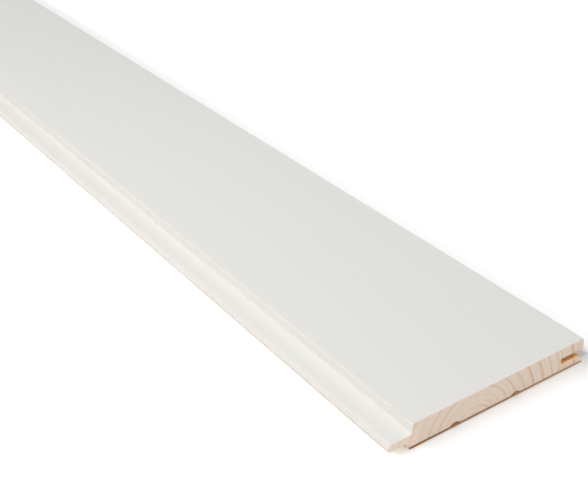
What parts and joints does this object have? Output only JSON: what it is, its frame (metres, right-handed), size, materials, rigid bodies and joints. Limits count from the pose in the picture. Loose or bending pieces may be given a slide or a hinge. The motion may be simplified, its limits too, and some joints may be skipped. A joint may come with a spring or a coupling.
{
  "type": "tongue and groove board",
  "caption": "Flat softwood panelling board with a painted face, a tongue along one long edge, a matching groove along the other and relief channels in its back.",
  "frame": {"origin": "middle of the back face, which lies on the floor", "axes": "+X along the length, +Y from the tongue edge to the groove edge, +Z from the back to the painted face"},
  "size_m": [2.4, 0.12, 0.0125],
  "materials": {
    "painted_softwood": "satin off-white paint on the face, the tongue's top and the long face edges; bare planed softwood elsewhere"
  },
  "bodies": {
    "root": {"board": "painted_softwood"}
  },
  "joints": []
}
